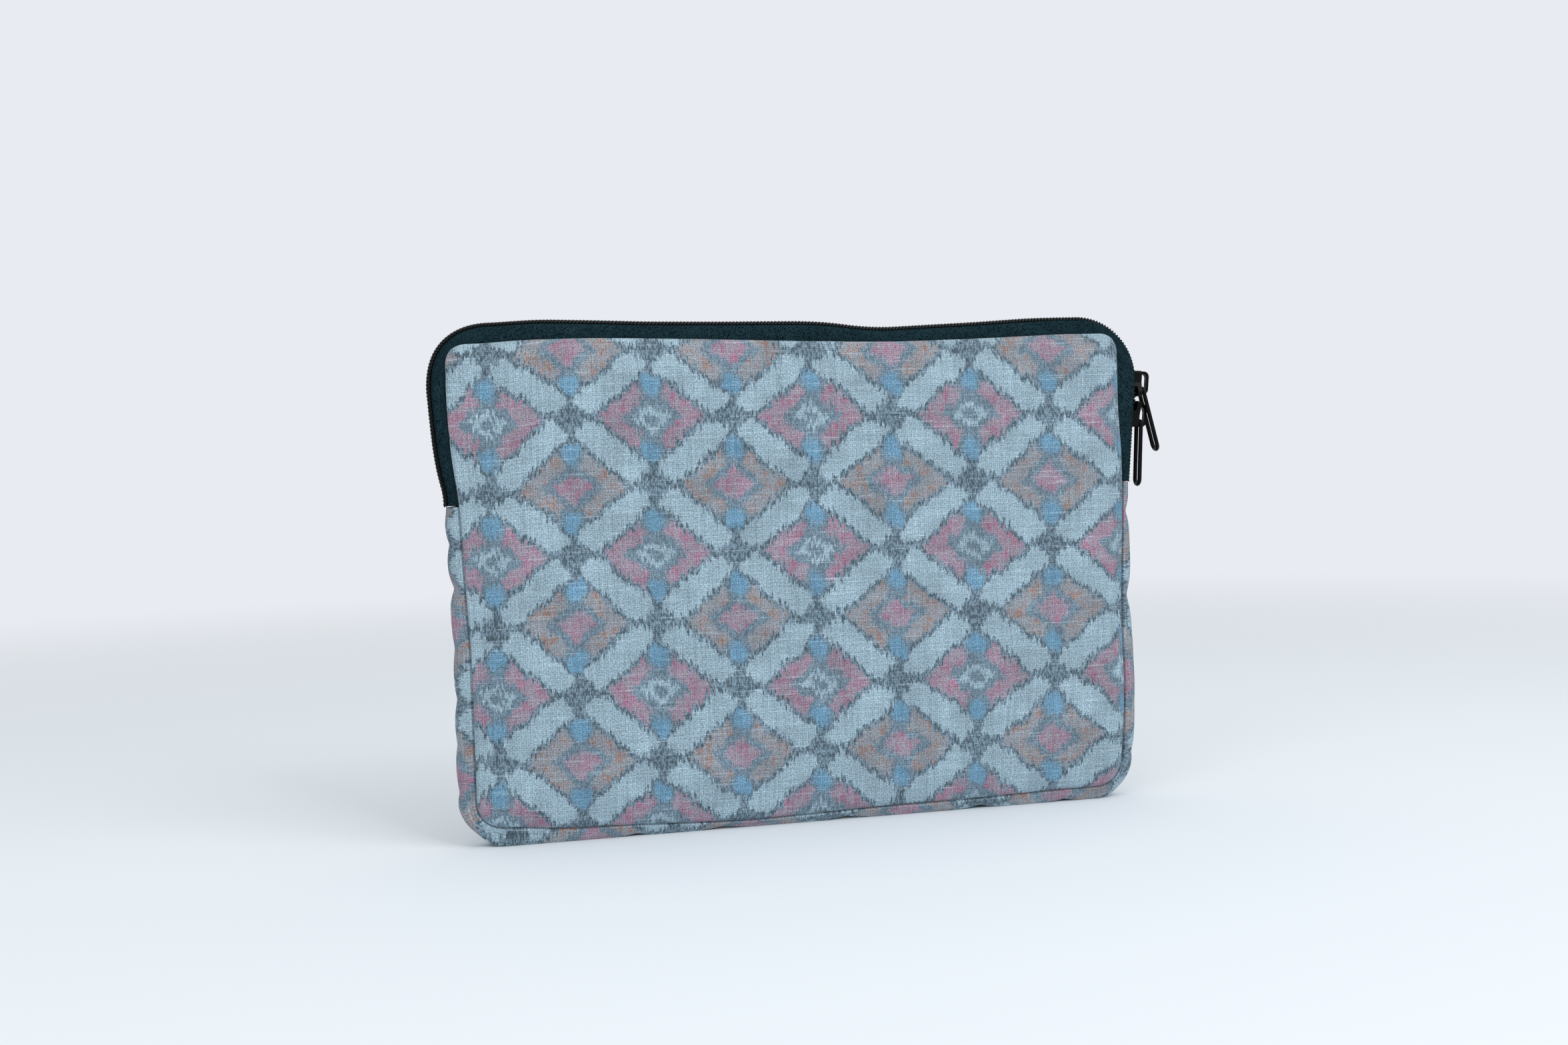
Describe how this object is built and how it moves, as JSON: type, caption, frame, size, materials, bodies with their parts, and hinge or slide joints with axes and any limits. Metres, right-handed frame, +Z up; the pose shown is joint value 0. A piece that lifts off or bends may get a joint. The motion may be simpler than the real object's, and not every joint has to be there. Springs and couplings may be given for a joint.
{
  "type": "laptop sleeve",
  "caption": "Padded zip-round laptop sleeve in woven ikat cloth, with a puckered gusset, a coil zipper over the top and two sliders with long wire pullers.",
  "frame": {"origin": "middle of the flat base of the gusset, on the surface that the sleeve stands on", "axes": "+X towards the side with the sliders, +Y from the front panel to the back panel, +Z up towards the zipper"},
  "size_m": [0.3683, 0.022, 0.2436],
  "materials": {
    "ikat_cloth": "matte",
    "foam": "matte",
    "lining": "matte",
    "binding": "matte",
    "zipper_tape": "matte",
    "zipper_coil": "gloss",
    "slider_metal": "gloss"
  },
  "bodies": {
    "sleeve": {"front_panel": "ikat_cloth", "back_panel": "ikat_cloth", "bottom_gusset": "ikat_cloth", "front_foam": "foam", "back_foam": "foam", "gusset_foam": "foam", "front_lining": "lining", "back_lining": "lining", "gusset_lining": "lining", "front_seam_binding": "binding", "back_seam_binding": "binding", "front_zipper_tape": "zipper_tape", "back_zipper_tape": "zipper_tape", "front_zipper_coil": "zipper_coil", "back_zipper_coil": "zipper_coil"},
    "upper_slider": {"upper_slider": "slider_metal"},
    "upper_puller": {"upper_puller": "slider_metal"},
    "lower_slider": {"lower_slider": "slider_metal"},
    "lower_puller": {"lower_puller": "slider_metal"}
  },
  "joints": [
    {"name": "upper_slider_run", "type": "hinge", "parent": "sleeve", "child": "upper_slider", "pos_m": [0.1465, 0, 0.2121], "axis": [0, -1, 0], "range_deg": [0, 95], "deforming": ["front_zipper_coil", "back_zipper_coil"]},
    {"name": "upper_puller_swing", "type": "hinge", "parent": "upper_slider", "child": "upper_puller", "pos_m": [0.18151, 0, 0.20668], "axis": [0, -1, 0], "range_deg": [0, 155]},
    {"name": "lower_slider_run", "type": "slide", "parent": "sleeve", "child": "lower_slider", "axis": [-0.0872, 0, -0.9962], "range_m": [0, 0.022], "deforming": ["front_zipper_coil", "back_zipper_coil"]},
    {"name": "lower_puller_swing", "type": "hinge", "parent": "lower_slider", "child": "lower_puller", "pos_m": [0.18006, 0, 0.19014], "axis": [0, -1, 0], "range_deg": [0, 20]}
  ]
}
